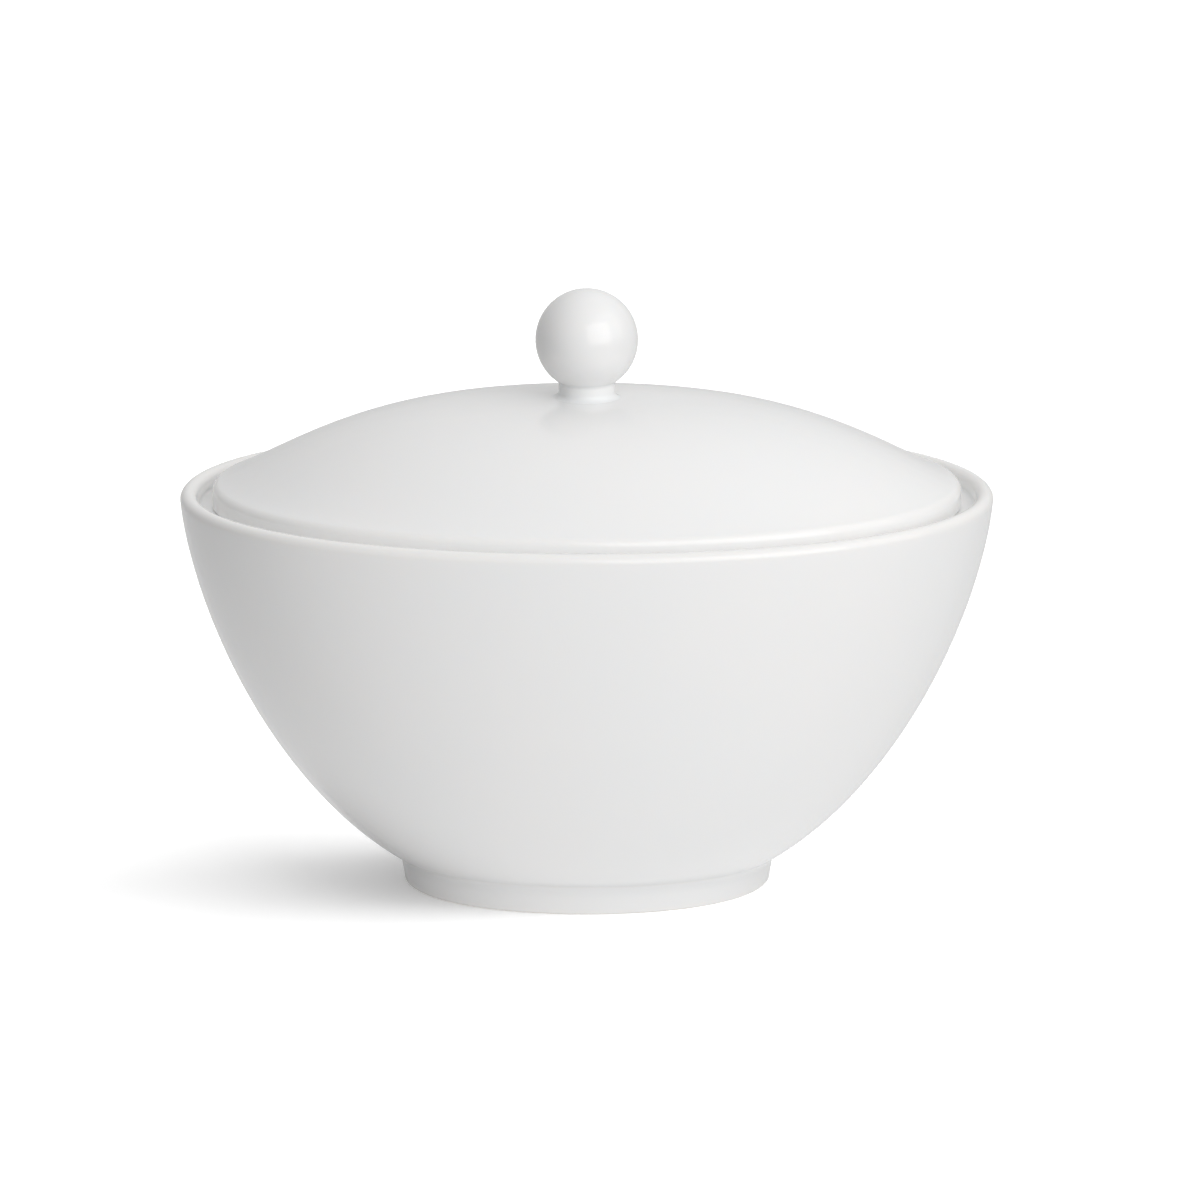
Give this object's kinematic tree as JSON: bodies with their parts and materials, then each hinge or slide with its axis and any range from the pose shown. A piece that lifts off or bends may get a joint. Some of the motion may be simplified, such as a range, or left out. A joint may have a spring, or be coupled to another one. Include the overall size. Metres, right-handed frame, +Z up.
{
  "type": "sugar bowl",
  "caption": "Oval covered sugar bowl in glazed bone china, on a low foot ring, with an inset domed lid that lifts off by its ball knob",
  "frame": {"origin": "middle of the foot ring's standing face, on the table", "axes": "+Z up out of the bowl, X along the bowl's length, Y across it"},
  "size_m": [0.1298, 0.091, 0.0972],
  "materials": {
    "glazed_china": "clear glossy glaze over white bone china",
    "bare_china": "glazed sides, with the standing face bare and ground smooth"
  },
  "bodies": {
    "bowl": {"bowl_body": "glazed_china", "foot_ring": "bare_china"},
    "lid": {"lid_shell": "glazed_china", "lid_flange": "glazed_china", "lid_knob": "glazed_china"}
  },
  "joints": [
    {"name": "lid_lift", "type": "slide", "parent": "bowl", "child": "lid", "axis": [0, 0, 1], "range_m": [0, 0.06]}
  ]
}
